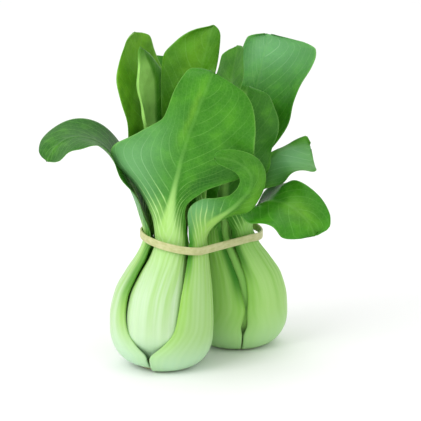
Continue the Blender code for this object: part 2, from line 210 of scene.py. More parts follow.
# How each leaf differs: above 0 for a yellower leaf and below 0 for a darker one
TONES = {
    "leaf_front_left": -0.7,
    "leaf_front_left_back": 0.85,
    "leaf_front_folded": 0.35,
    "leaf_front_tall": 0.4,
    "leaf_front_curled": 0.1,
    "leaf_front_right": 0.2,
    "leaf_rear_front": -0.45,
    "leaf_rear_right": 0.1,
    "leaf_rear_side": 0.3,
    "leaf_front_back": -0.1,
}
# Painted light and shade: lighter patches are painted highlights and darker ones painted shade; middle along
# and across, reach along and across, and how much
PAINTED_LIGHT_AND_SHADE = {
    "leaf_front_face": ((0.76, -0.16, 0.2, 0.15, 0.55), (0.4, 0.66, 0.2, 0.3, -0.75)),
    "leaf_front_tall": ((0.8, 0.3, 0.2, 0.3, 0.25), (0.35, 0.2, 0.25, 0.6, -0.4)),
    "leaf_front_curled": ((0.45, 0.6, 0.3, 0.5, 0.35), (0.3, -0.6, 0.14, 0.4, -0.4)),
    "leaf_front_folded": ((0.5, -0.7, 0.3, 0.3, -0.3),),
    "leaf_rear_top": ((0.45, 0.0, 0.3, 0.8, -0.5),),
    "leaf_rear_right": ((0.75, 0.1, 0.2, 0.5, 0.45), (0.35, 0.2, 0.2, 0.6, -0.3)),
}
# How far down the stalk the green comes, as a share of the stalk
LOW = {"leaf_rear_front": 0.8, "leaf_rear_side": 0.5, "leaf_front_left": 0.05}
# Patches of painted sheen on the outer face, standing in for the light's reflection: middle along the blade
# and across it, and reach
PAINTED_SHEEN_PATCHES = {
    "leaf_front_face": (0.34, -0.72, 0.24, 0.45),
    "leaf_front_left": (0.25, 0.4, 0.2, 0.7),
    "leaf_front_curled": (0.16, -0.7, 0.16, 0.6),
    "leaf_rear_right": (0.6, 0.5, 0.25, 0.5),
}
# The same painted sheen on the inner face
INNER_PAINTED_SHEEN_PATCHES = {"leaf_rear_top": (0.93, 0.0, 0.15, 1.1), "leaf_rear_side": (0.75, -0.3, 0.3, 0.7)}
# Pale parts: towards which margin, 1 for the right and -1 for the left, and from where across
PALE_PARTS = {"leaf_front_folded": (1, -0.62), "leaf_rear_front": (-1, -0.1)}
# Green leafy margins of the stalks: strength at the left and the right, and height from which
# they set in, in millimetres
WINGS = {
    "leaf_front_face": (0.3, 0.9, 50),
    "leaf_front_curled": (1.0, 0.15, 44),
    "leaf_front_left": (0.1, 0.75, 30),
    "leaf_rear_left": (0.2, 1.0, 24),
    "leaf_rear_right": (0.9, 0.0, 38),
}
# Stalks with more green in them
GREENER_STALKS = {"leaf_front_curled": 0.6, "leaf_rear_left": 0.35, "leaf_rear_front": 0.8}

# Camera: where it looks, and how it stands to the bunch
CAMERA_AIM = Vector((0.01465, -0.0007, 0.083))
CAMERA_RISE = math.radians(15)
CAMERA_AWAY = 2.0
PIXELS_ACROSS = 421
PIXEL = 0.56 * MM
SENSOR = 36.0


@dataclass
class Leaf:
    """Angles in degrees and lengths in millimetres. Side values go with the left and the
    right as the leaf is seen from outside its head. A set of four holds the value at each
    quarter of the blade, and each starts from nothing at the neck."""

    name: str
    head: str
    ring: int
    azimuth: tuple  # of the stalk's middle round its head, at foot, bulb and neck
    length: float  # of the blade
    half: tuple  # blade's half width, left and right
    lean: tuple  # outwards from upright
    turn: tuple = (0, 0, 0, 0)  # of the way it leans, round the upright
    sway: tuple = (0, 0, 0, 0)  # sideways bend, to the right
    roll: tuple = (0, 0, 0, 0)  # twist about its own length
    cup: float = 60  # radius that the blade is cupped to
    opened: tuple = (0.5, 0.5)  # places along the blade where each side has that radius
    fold: tuple = (0, 0)  # how far each margin is folded in
    wave: float = 2.0
    waves: float = 2.5
    phase: float = 0.0
    broad: tuple = (1, 1)  # stalk's span against its ring's, at bulb and neck
    raised: float = 0.0  # how far its root lies above its ring's
    bulge: float = 0.0  # of the stalk's middle, outwards
    bulge_span: float = 1.0  # share of the stalk that bulges
    outline: tuple = ("round", "round")


LEAVES = (
    Leaf("leaf_front_left", "front", 0, (192, 181, 176), 95, (26, 18), (23, 35, 86, 160),
         turn=(-4, -2, 16, 38), roll=(0, 2, 4, 4), cup=140, opened=(0.5, 0.8), raised=1.8,
         outline=("early", "last")),
    Leaf("leaf_front_curled", "front", 0, (312.5, 327, 329), 86, (16.5, 3), (54, 34, 19, 12),
         turn=(-28, -40, -44, -44), sway=(25, 26, -44, -84), cup=80, wave=1.5,
         outline=("hooked", "narrowing")),
    Leaf("leaf_front_back", "front", 0, (74, 75, 100), 98, (12, 24), (12, 18, 22, 26),
         turn=(10, 16, 16, 16), cup=50),
    Leaf("leaf_front_face", "front", 1, (253, 255, 253), 104, (41, 38.5), (9, 6, 0, -4),
         sway=(12, 17, 21, 21), cup=170, opened=(0.33, 0.5), wave=3, phase=1.0,
         broad=(1.18, 1.33), raised=1.2, bulge=5.2, outline=("cornered", "late")),
    Leaf("leaf_front_right", "front", 1, (20, 20, 5), 113, (15, 10), (10, 16, 16, 10),
         turn=(-15, -35, -45, -50), cup=45, bulge=3, bulge_span=0.36),
    Leaf("leaf_front_left_back", "front", 1, (130, 132, 140), 113, (20, 20), (10, 13, 9, 2),
         cup=60, raised=1.2, bulge=3, bulge_span=0.38),
    Leaf("leaf_front_folded", "front", 2, (190, 190, 196), 108, (21, 8.5), (8, 9, 6, 2),
         turn=(-36, -40, -40, -40), fold=(0, 75), cup=40, raised=0.8, outline=("peaked", "lance")),
    Leaf("leaf_front_tall", "front", 2, (65, 65, 78), 119, (10, 22), (2, 4, 6, 8),
         sway=(-4, -9, -13, -14), cup=60, outline=("lance", "peaked")),
    Leaf("leaf_front_heart", "front", 3, (300, 300, 300), 56, (9, 9), (0, -2, -4, -4), cup=9),
    Leaf("leaf_rear_right", "rear", 0, (336, 323, 319), 67, (22.5, 17), (52, 84, 114, 164),
         turn=(-7, -7, 3, 8), roll=(-10, -26, -30, -25), cup=60, outline=("spread", "broad")),
    Leaf("leaf_rear_top", "rear", 0, (96, 84, 60), 106, (41, 17), (13, 23, 26, 24), cup=60,
         outline=("flared", "round")),
    Leaf("leaf_rear_left", "rear", 0, (218, 239, 236), 28, (10, 8), (0, 0, 0, 4), cup=30),
    Leaf("leaf_rear_front", "rear", 1, (284, 284, 272), 84, (8, 26), (2, 2, 0, 0),
         sway=(4, 10, 14, 14), cup=40, bulge=3, bulge_span=0.36),
    Leaf("leaf_rear_side", "rear", 1, (27, 25, 5), 64, (27, 4), (17, 36, 66, 104),
         turn=(8, 12, 13, 13), roll=(-10, -26, -30, -30), cup=50, bulge=3, bulge_span=0.36,
         outline=("flared", "late")),
    Leaf("leaf_rear_back", "rear", 1, (142, 142, 126), 100, (18, 14), (10, 20, 28, 38),
         cup=50, bulge=3, bulge_span=0.38),
    Leaf("leaf_rear_folded", "rear", 2, (50, 50, 40), 74, (18, 16), (8, 18, 22, 22), fold=(0, 40), cup=30),
    Leaf("leaf_rear_inner", "rear", 2, (170, 170, 170), 60, (11, 11), (0, -2, -2, -2), cup=20),
    Leaf("leaf_rear_heart", "rear", 3, (290, 290, 290), 50, (9, 9), (0, -2, -4, -4), cup=9),
)


def rising(x, start, end):
    """0 up to start, 1 from end on, with level ends between."""
    x = np.clip((x - start) / (end - start), 0, 1)
    return x * x * (3 - 2 * x)


def smooth(x, xs, ys):
    """A smooth curve through the points (xs, ys) that never overshoots them."""
    xs, ys = np.asarray(xs, float), np.asarray(ys, float)
    step = np.diff(ys) / np.diff(xs)
    slope = np.zeros_like(ys)
    both = step[:-1] * step[1:]
    total = step[:-1] + step[1:]
    slope[1:-1] = np.where(both > 0, 2 * both / np.where(total == 0, 1, total), 0)
    slope[0], slope[-1] = step[0], step[-1]
    x = np.clip(x, xs[0], xs[-1])
    i = np.clip(np.searchsorted(xs, x) - 1, 0, len(xs) - 2)
    gap = xs[i + 1] - xs[i]
    t = (x - xs[i]) / gap
    return (
        ys[i] * (1 + 2 * t) * (1 - t) ** 2
        + ys[i + 1] * t * t * (3 - 2 * t)
        + gap * slope[i] * t * (1 - t) ** 2
        - gap * slope[i + 1] * t * t * (1 - t)
    )


def quarters(t, four):
    """A set of four values along the blade, from nothing at the neck."""
    return smooth(t, (0, 0.25, 0.5, 0.75, 1), (0, *four))


def unit(v):
    return v / np.linalg.norm(v, axis=-1, keepdims=True)


def outline_radius(z):
    """Outer radius of a head at height z, above the bulb's rounded foot."""
    return smooth(z, OUTLINE_Z, OUTLINE_R)


def head_centre(head, z):
    """The middle of a head at height z: upright below the bulb, then drawn to its neighbour."""
    away = outline_radius(np.maximum(z, Z_BULB)) + HEADS_APART / 2
    line = np.array([math.cos(HEADS_LINE), math.sin(HEADS_LINE)])
    return BUNCH_MIDDLE + SIDE_OF[head] * np.multiply.outer(away, line)


def stalk_path(leaf):
    """Midline of the stalk, from its root on the stem to the neck."""
    ring = leaf.ring
    share = np.linspace(0, 1, FINE_STALK)
    foot = ROOT_Z[ring] + leaf.raised * MM
    high = share**STALK_SPACING
    z = foot + (Z_NECK - foot) * high
    depth = smooth(z, (Z_BULB, Z_NECK), (DEPTH_AT_BULB[ring], DEPTH_AT_NECK[ring]))
    swell = np.sqrt(1 - (1 - np.clip((z - foot) / ROOT_RISE, 0, 1)) ** 2)
    radius = ROOT_R[ring] + (outline_radius(z) - depth - ROOT_R[ring]) * swell
    root, bulb, neck = leaf.azimuth
    azimuth = np.radians(smooth(z, (0, FOOT_Z, Z_BULB, Z_NECK), (root, root, bulb, neck)))
    level = np.zeros_like(z)
    out = np.stack([np.cos(azimuth), np.sin(azimuth), level], 1)
    side = np.stack([-np.sin(azimuth), np.cos(azimuth), level], 1)
    place = out * radius[:, None]
    place[:, :2] += head_centre(leaf.head, z)
    place[:, 2] = z
    span = smooth(z, SPAN_Z, OUTER_SPAN if ring == 0 else INNER_SPAN)
    broad = smooth(z, (FOOT_Z, Z_BULB, Z_NECK), (1, *leaf.broad))
    half = np.radians(span * broad) * radius
    thick = smooth(high, THICK_AT, (ROOT_THICK, STALK_THICK[ring], STALK_THICK[ring], NECK_THICK[ring]))
    set_in = rising(z, foot, foot + BULGE_RISE)
    return {
        "place": place,
        "out": out,
        "side": side,
        "left": half,
        "right": half,
        "bend_left": 1 / radius,
        "bend_right": 1 / radius,
        "bulge": leaf.bulge * MM * set_in * (1 - (1 - BULGE_AT_NECK) * rising(high, 0, 1)),
        "dip": EDGE_DIP * set_in,
        "blade": level,
        "thick": thick,
        "edge": np.full_like(z, STALK_EDGE),
        "rib": half,
    }


def blade_path(leaf, stalk):
    """Midline of the blade, from the neck on to the tip."""
    t = np.linspace(0, 1, FINE_BLADE + 1)[1:]
    lean = np.radians(quarters(t, leaf.lean))
    sway = np.radians(quarters(t, leaf.sway))
    roll = np.radians(quarters(t, leaf.roll))[:, None]
    heading = np.radians(leaf.azimuth[2] + quarters(t, leaf.turn))
    level = np.zeros_like(t)
    up = np.array([0.0, 0.0, 1.0])
    away = np.stack([np.cos(heading), np.sin(heading), level], 1)
    across = np.stack([-np.sin(heading), np.cos(heading), level], 1)
    upright = up * np.cos(sway)[:, None] + across * np.sin(sway)[:, None]
    along = unit(away * np.sin(lean)[:, None] + upright * np.cos(lean)[:, None])
    place = stalk["place"][-1] + np.cumsum(along, 0) * leaf.length * MM / FINE_BLADE
    flat = upright * -np.sin(lean)[:, None] + away * np.cos(lean)[:, None]
    side = np.cross(along, flat)
    side, out = side * np.cos(roll) + flat * np.sin(roll), flat * np.cos(roll) - side * np.sin(roll)
    neck = stalk["left"][-1]
    left, right = (
        np.maximum(neck + (half * MM - neck) * smooth(t, *zip(*OUTLINES[kind])), TIP_HALF)
        for half, kind in zip(leaf.half, leaf.outline)
    )
    bend = []
    for opened in leaf.opened:
        cupped = rising(t, 0, opened)
        bend.append(stalk["bend_left"][-1] * (1 - cupped) + cupped / (leaf.cup * MM))
    thick = NECK_THICK[leaf.ring] * smooth(t, *zip(*RIB_THICK_AT))
    return {
        "place": place,
        "out": out,
        "side": side,
        "left": left,
        "right": right,
        "bend_left": bend[0],
        "bend_right": bend[1],
        "bulge": stalk["bulge"][-1] * (1 - rising(t, *BULGE_ENDS)),
        "dip": np.full_like(t, EDGE_DIP),
        "blade": t,
        "thick": np.maximum(thick, BLADE_THICK),
        "edge": STALK_EDGE + (BLADE_THICK - STALK_EDGE) * rising(t, *THINNING),
        "rib": np.minimum(smooth(t, *zip(*RIB_HALF_AT)) * MM, neck),
    }


def tip_rounding(t):
    """Draws the last of the blade in to a rounded tip."""
    past = np.clip((t - TIP_ROUND_FROM) / (1 - TIP_ROUND_FROM), 0, 1)
    return np.sqrt(1 - 0.96 * past**2)


def leaf_surface(leaf, along, across):
    """Points on the leaf's plain outer face, the way it faces and its thickness there, with
    the measures that its ribs and veins go by. along runs 0 to 1 up the stalk and 1 to 2 up
    the blade; across runs -1 to 1 from the left margin to the right."""
    stalk = stalk_path(leaf)
    blade = blade_path(leaf, stalk)
    fine = np.concatenate([np.linspace(0, 1, FINE_STALK), 1 + blade["blade"]])
    path = {}
    for key in stalk:
        values = np.concatenate([stalk[key], blade[key]])
        if values.ndim == 1:
            path[key] = np.interp(along, fine, values)
        else:
            path[key] = np.stack([np.interp(along, fine, column) for column in values.T], 1)
    out, side = unit(path["out"]), unit(path["side"])
    t = path["blade"]
    hand = np.sign(across)
    v = np.abs(across)
    half = np.where(across < 0, path["left"], path["right"]) * tip_rounding(t)
    fold = np.where(across < 0, *leaf.fold) * rising(t, *FOLD_SETS_IN)

    share = np.linspace(0, 1, SECTION_STEPS)[:, None] * v
    angle = np.where(across < 0, path["bend_left"], path["bend_right"]) * half * share
    angle = angle + np.radians(fold) * rising(share, FOLD_FROM, 1)
    weight = np.ones((SECTION_STEPS, 1))
    weight[[0, -1]] = 0.5
    weight /= weight.sum()
    sideways = hand * (np.cos(angle) * weight).sum(0) * v * half
    inwards = (np.sin(angle) * weight).sum(0) * v * half
    facing = out * np.cos(angle[-1])[:, None] + side * (hand * np.sin(angle[-1]))[:, None]

    body = np.clip(1 - (v * half / path["rib"]) ** 2, 0, 1)
    thick = path["edge"] + (path["thick"] - path["edge"]) * body
    on_stalk = 1 - rising(t, *RIB_LEAVES)
    stands = RIB_STANDS_OUT * (thick - path["edge"]) * (1 - on_stalk)
    stands += path["bulge"] * np.clip(1 - (v / leaf.bulge_span) ** 3, 0, 1) ** 1.5
    stands -= path["dip"] * v**2 * on_stalk
    if leaf.ring == 0:
        stands -= HUG * rising(v, HUG_FROM, 1) * on_stalk * path["dip"] / EDGE_DIP
    ripple = np.sin(2 * math.pi * leaf.waves * t + leaf.phase + np.where(across < 0, 0, WAVE_SHIFT))
    stands += leaf.wave * MM * v**3 * ripple * rising(t, *WAVE_SETS_IN)
    points = path["place"] + side * sideways[:, None] - out * inwards[:, None]
    measures = {
        "t": np.where(along < 1, along - 1, t),
        "v": across,
        "x": across * half,
        "y": np.where(along < 1, (along - 1) * Z_NECK, t * leaf.length * MM),
        "rib": path["rib"],
        "z": points[:, 2],
    }
    return points + facing * stands[:, None], facing, thick, measures


def rib_course(leaf, m):
    """Counts ribs and veins outwards: one lies wherever this is a whole number. On the stalk
    they run lengthwise, and on the blade each leaves the midrib and climbs to the margin."""
    t, v = m["t"], np.abs(m["v"])
    length = leaf.length * MM
    climb = np.where(t < 0, RIB_FLATTENS * np.tanh(t / RIB_FLATTENS), t)
    blade_ribs = VEIN_CLIMB * max(leaf.half) * MM / VEIN_STEP
    ribs = STALK_RIBS + (blade_ribs - STALK_RIBS) * rising(t, 0, 0.4)
    seed = leaf_seed(leaf)
    wander = np.sin(9.1 * t + 5.3 * v + seed) + 0.6 * np.sin(23.0 * t - 7.7 * v + 2.1 * seed)
    course = climb * length / VEIN_STEP - ribs * v**VEIN_CURVE + VEIN_WANDER * wander * v
    return course + np.where(m["v"] < 0, 0.5, 0)


def leaf_seed(leaf):
    """A number from 0 to about 6 that sets a leaf's own irregularities."""
    return (zlib.crc32(leaf.name.encode()) % 628) / 100


def vein_marks(leaf, m):
    """How near each point is to a rib or vein, from 0 to 1, and how strong that one is."""
    t, v = m["t"], np.abs(m["v"])
    course = rib_course(leaf, m)
    off = np.abs(course - np.round(course)) * 2
    width = 1 - 0.45 * rising(t, -0.25, 0.02) - 0.33 * rising(t, 0.02, 0.35)
    ridge = 1 - rising(off, 0, width)
    which = np.round(course)
    uneven = 0.78 + 0.22 * np.sin(2.4 * which + leaf_seed(leaf))
    strength = (0.45 + 0.55 * rising(t, -0.35, 0.0)) * (1 - 0.4 * rising(t, 0.08, 0.8))
    strength = strength * (1 - 0.4 * rising(v, 0.45, 1) * rising(t, 0, 0.3)) * uneven
    return course, width, strength, ridge


def crinkle(leaf, m):
    """Slow, uneven swells of the blade, in metres."""
    seed = leaf_seed(leaf)
    x, y = m["x"] / MM, m["y"] / MM
    swell = np.sin(0.21 * x + 0.09 * y + seed) * np.cos(0.13 * y - 0.05 * x + 1.7 * seed)
    swell += 0.5 * np.sin(0.37 * y + 0.16 * x + 2.9 * seed) * np.cos(0.29 * x - 0.6 * seed)
    return CRINKLE * CALMER.get(leaf.name, 1) * swell * rising(m["t"], 0.12, 0.5)


def wing(leaf, m):
    """Green leafy margins down the upper stalk."""
    left, right, start = WINGS.get(leaf.name, (0.35, 0.35, 40) if leaf.ring == 0 else (1, 1, 40))
    low = rising(m["z"], start * MM, (start + 22) * MM) * (1 - rising(m["t"], 0.05, 0.3))
    return np.where(m["v"] < 0, left, right) * low * rising(np.abs(m["v"]), 0.62, 0.9)


def tone(leaf, m):
    """How much yellower, above 0, or darker, below it, the blade is at each point: the leaf's own tone, with
    painted highlights and painted shade added on.
    """
    value = np.full(len(m["t"]), TONES.get(leaf.name, 0.0))
    for along, across, reach_along, reach_across, much in PAINTED_LIGHT_AND_SHADE.get(leaf.name, ()):
        off = ((m["t"] - along) / reach_along) ** 2 + ((m["v"] - across) / reach_across) ** 2
        value += much * np.exp(-off)
    return value


def bloom(patches, leaf, m):
    """A soft patch of painted sheen, from 0 to 1."""
    if leaf.name not in patches:
        return np.zeros(len(m["t"]))
    along, across, reach_along, reach_across = patches[leaf.name]
    off = ((m["t"] - along) / reach_along) ** 2 + ((m["v"] - across) / reach_across) ** 2
    return np.exp(-off)


def pale_part(leaf, m):
    """Where the blade's pale side or stout midrib shows."""
    if leaf.name not in PALE_PARTS:
        return np.zeros(len(m["t"]))
    side, start = PALE_PARTS[leaf.name]
    along = rising(m["t"], 0.15, 0.35) * (1 - rising(m["t"], 0.88, 1))
    return rising(m["v"] * side, start, start + 0.14) * along


def box_limits():
    """Corners of the box that the solids fill, drawn in by a hair."""
    low, high = np.array(cad_box)
    return low + BOX_CLEAR * np.array([1, 1, 0]), high - BOX_CLEAR


def grid_normals(points, rows, columns):
    """Outward normals of a leaf's face, from the lie of its grid."""
    grid = points.reshape(rows, columns, 3)
    across = np.gradient(grid, axis=1)
    along = np.gradient(grid, axis=0)
    return unit(np.cross(across, along)).reshape(-1, 3)


def leaf_rows(leaf):
    stalk = max(18, int(round(Z_NECK / GRID_STEP / 1.5)))
    blade = max(24, int(round(leaf.length * MM / GRID_STEP)))
    return np.concatenate([np.linspace(0, 1, stalk, endpoint=False), np.linspace(1, 2, blade)])


def finish_of(leaf):
    """The youngest leaves are paler, and the rear head's are a deeper green."""
    if leaf.ring == 3:
        return "heart_leaf"
    return "leaf" if leaf.head == "front" else "rear_leaf"


def add_leaf(leaf):
    """One leaf as a closed shell: an outer face, an inner face and a thin rim."""
    along_steps = leaf_rows(leaf)
    wide = max(sum(leaf.half) * MM, 30 * MM)
    half_columns = int(math.ceil(wide / GRID_STEP / 2))
    share = np.linspace(-1, 1, 2 * half_columns + 1)
    across_steps = np.sign(share) * np.abs(share) ** COLUMNS_CROWD
    rows, columns = len(along_steps), len(across_steps)
    along = np.repeat(along_steps, columns)
    across = np.tile(across_steps, rows)
    points, facing, thick, m = leaf_surface(leaf, along, across)
    course, width, strength, ridge = vein_marks(leaf, m)
    on_blade = rising(m["t"], -0.1, 0.3)
    rib_relief = RIB_RELIEF[leaf.ring]
    relief = rib_relief + (VEIN_RELIEF - rib_relief) * on_blade
    quilt = QUILTING * on_blade * strength * (0.5 - ridge)
    swell = crinkle(leaf, m) + quilt
    midrib = np.clip(1 - (m["x"] / m["rib"]) ** 2, 0, 1) * on_blade
    clear = 1 - midrib
    outer = points + facing * (swell + relief * strength * ridge * clear)[:, None]
    normals = grid_normals(outer, rows, columns)
    rim = rising(np.abs(across), 1, 0.93)
    thin = thick * (MARGIN_THIN + (1 - MARGIN_THIN) * np.where(m["t"] > 0, rim, 1))
    groove = relief * strength * ridge * clear * VEIN_GROOVE * on_blade
    inner = outer - normals * (thin + groove)[:, None]
    outer, inner = (np.clip(face, *cad_limits) for face in (outer, inner))

    mesh = bpy.data.meshes.new(leaf.name + "_form")
    grid = np.arange(rows * columns).reshape(rows, columns)
    a, b, c, d = grid[:-1, :-1], grid[:-1, 1:], grid[1:, 1:], grid[1:, :-1]
    front = np.stack([a, b, c, d], -1).reshape(-1, 4)
    back = front[:, ::-1] + rows * columns
    loop = np.concatenate([grid[0, :-1], grid[:-1, -1], grid[-1, :0:-1], grid[:0:-1, 0]])
    following = np.roll(loop, -1)
    beyond = rows * columns
    edge = np.stack([following, loop, loop + beyond, following + beyond], -1)
    faces = np.concatenate([front, back, edge])
    mesh.from_pydata(np.concatenate([outer, inner]).tolist(), [], faces.tolist())
    mesh.validate()
    mesh.shade_smooth()

    def keep(name, outer_values, inner_values=None):
        both = [outer_values, outer_values if inner_values is None else inner_values]
        values = np.concatenate(both)
        layer = mesh.attributes.new(name, "FLOAT", "POINT")
        layer.data.foreach_set("value", values.astype(np.float32))

    keep("course", course)
    keep("width", width)
    keep("strength", strength * clear)
    keep("midrib", np.abs(m["x"]) / m["rib"])
    keep("blade", m["t"])
    keep("across", m["v"])
    keep("height", outer[:, 2] / MM)
    keep("inner", np.zeros(len(outer)), np.ones(len(outer)))
    # Leaf tone, with painted highlights and painted shade
    keep("tone", tone(leaf, m))
    keep("wing", wing(leaf, m))
    keep("reach", m["t"] + LOW.get(leaf.name, 0.0))
    # Painted sheen on each face, a painted reflection of the light
    keep("bloom", bloom(PAINTED_SHEEN_PATCHES, leaf, m), bloom(INNER_PAINTED_SHEEN_PATCHES, leaf, m))
    keep("pale", pale_part(leaf, m))
    keep("greener", np.full(len(outer), GREENER_STALKS.get(leaf.name, 0.0)))
    flat = np.stack([m["x"] / MM, m["y"] / MM, np.zeros(len(outer))], 1)
    layer = mesh.attributes.new("flat_place", "FLOAT_VECTOR", "POINT")
    both_faces = np.concatenate([flat, flat + [0, 0, 40]])
    layer.data.foreach_set("vector", both_faces.astype(np.float32).ravel())

    piece = bpy.data.objects.new(leaf.name + "_veined", mesh)
    bpy.context.scene.collection.objects.link(piece)
    mesh.materials.append(FINISHES[finish_of(leaf)])
    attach(piece, BODY)
    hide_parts(leaf.name)


class Wiring:
    """Adds nodes to one tree, with their values set and their inputs joined."""

    def __init__(self, tree):
        self.tree = tree
        self.column = 0

    def add(self, kind, values=None, **settings):
        node = self.tree.nodes.new(kind)
        node.location = (self.column * 40, -(self.column % 7) * 160)
        self.column += 1
        for name, value in settings.items():
            setattr(node, name, value)
        for key, value in (values or {}).items():
            socket = node.inputs[key]
            if isinstance(value, bpy.types.NodeSocket):
                self.tree.links.new(value, socket)
            else:
                socket.default_value = value
        return node

    def math(self, operation, *values, clamp=False):
        node = self.add("ShaderNodeMath", dict(enumerate(values)), operation=operation, use_clamp=clamp)
        return node.outputs[0]

    def ramp(self, value, start, end, to_start=0.0, to_end=1.0, kind="SMOOTHSTEP"):
        node = self.add(
            "ShaderNodeMapRange",
            {"Value": value, "From Min": start, "From Max": end, "To Min": to_start, "To Max": to_end},
            interpolation_type=kind,
        )
        return node.outputs["Result"]

    def mix(self, share, first, second, blend="MIX"):
        node = self.add("ShaderNodeMix", {0: share, 6: first, 7: second}, data_type="RGBA", blend_type=blend)
        return node.outputs[2]

    def attribute(self, name, output="Fac"):
        return self.add("ShaderNodeAttribute", attribute_name=name).outputs[output]

    def group(self, tree, values):
        node = self.tree.nodes.new("ShaderNodeGroup")
        node.node_tree = tree
        for key, value in values.items():
            if isinstance(value, bpy.types.NodeSocket):
                self.tree.links.new(value, node.inputs[key])
            else:
                node.inputs[key].default_value = value
        return node.outputs


def new_group(name, inputs, outputs):
    """A node group with its sockets made, and the wiring to fill it."""
    tree = bpy.data.node_groups.new(name, "ShaderNodeTree")
    for label, kind, value in inputs:
        socket = tree.interface.new_socket(label, in_out="INPUT", socket_type=kind)
        if value is not None:
            socket.default_value = value
    for label, kind in outputs:
        tree.interface.new_socket(label, in_out="OUTPUT", socket_type=kind)
    given = tree.nodes.new("NodeGroupInput")
    result = tree.nodes.new("NodeGroupOutput")
    return tree, Wiring(tree), given.outputs, result.inputs


FLOAT = "NodeSocketFloat"
VECTOR = "NodeSocketVector"


def build_ribs_and_veins():
    """Lengthwise ribs and climbing veins as a soft mask, drawn at the leaf's whole courses."""
    tree, w, given, result = new_group(
        "ribs_and_veins",
        [("Course", FLOAT, 0), ("Width", FLOAT, 0.3), ("Strength", FLOAT, 1)],
        [("Veins", FLOAT), ("Fine Line", FLOAT)],
    )
    nearest = w.math("ROUND", given["Course"])
    off = w.math("ABSOLUTE", w.math("SUBTRACT", given["Course"], nearest))
    off = w.math("MULTIPLY", off, 2)
    ridge = w.ramp(off, 0, given["Width"], 1, 0)
    w.tree.links.new(w.math("MULTIPLY", ridge, given["Strength"]), result["Veins"])
    line = w.ramp(off, 0, w.math("MULTIPLY", given["Width"], 0.45), 1, 0)
    w.tree.links.new(w.math("MULTIPLY", line, given["Strength"]), result["Fine Line"])
    return tree


def build_leaf_net():
    """The finest net of veins between the side veins, and slow mottling."""
    tree, w, given, result = new_group(
        "leaf_net",
        [("Place", VECTOR, None), ("Cell", FLOAT, 3.0)],
        [("Net", FLOAT), ("Mottle", FLOAT)],
    )
    bent = w.add("ShaderNodeTexNoise", {"Vector": given["Place"], "Scale": 0.35, "Detail": 1.0})
    shift = w.add("ShaderNodeVectorMath", {0: bent.outputs["Color"], 1: (1.6, 1.6, 0)}, operation="MULTIPLY")
    moved = w.add("ShaderNodeVectorMath", {0: given["Place"], 1: shift.outputs[0]}, operation="ADD")
    scale = w.math("DIVIDE", 1.0, given["Cell"])
    cells = w.add(
        "ShaderNodeTexVoronoi",
        {"Vector": moved.outputs[0], "Scale": scale, "Randomness": 0.9},
        feature="DISTANCE_TO_EDGE",
    )
    w.tree.links.new(w.ramp(cells.outputs["Distance"], 0, 0.16, 1, 0), result["Net"])
    slow = w.add("ShaderNodeTexNoise", {"Vector": given["Place"], "Scale": 0.09, "Detail": 3.0})
    w.tree.links.new(slow.outputs["Fac"], result["Mottle"])
    return tree


def build_stalk_streaks():
    """Fine lengthwise strings in the stalk's flesh."""
    tree, w, given, result = new_group(
        "stalk_streaks",
        [("Place", VECTOR, None), ("Strings", FLOAT, 1.1)],
        [("Streaks", FLOAT)],
    )
    drawn_out = w.add("ShaderNodeVectorMath", {0: given["Place"], 1: (1.0, 0.035, 1.0)}, operation="MULTIPLY")
    noise = w.add(
        "ShaderNodeTexNoise",
        {"Vector": drawn_out.outputs[0], "Scale": given["Strings"], "Detail": 2.0, "Roughness": 0.55},
    )
    w.tree.links.new(noise.outputs["Fac"], result["Streaks"])
    return tree


@dataclass
class LeafColours:
    foot: tuple  # of the stalk, near the ground
    stalk: tuple
    stalk_margin: tuple
    neck: tuple
    rib: tuple
    wing: tuple
    vein: tuple
    outer: tuple  # blade, on the side away from the heart
    inner: tuple
    deep: tuple  # darkest and freshest greens of the blade's mottling
    fresh: tuple
    # colour of the painted sheen, a painted reflection of the light
    bloom: tuple
    shine: float
    greens_from: float  # place along the blade where green has begun to come in
    greens_to: float


def new_finish(name):
    """A material with the wiring to fill it and its shader."""
    made = bpy.data.materials.new(name)
    made.use_nodes = True
    return made, Wiring(made.node_tree), made.node_tree.nodes["Principled BSDF"]


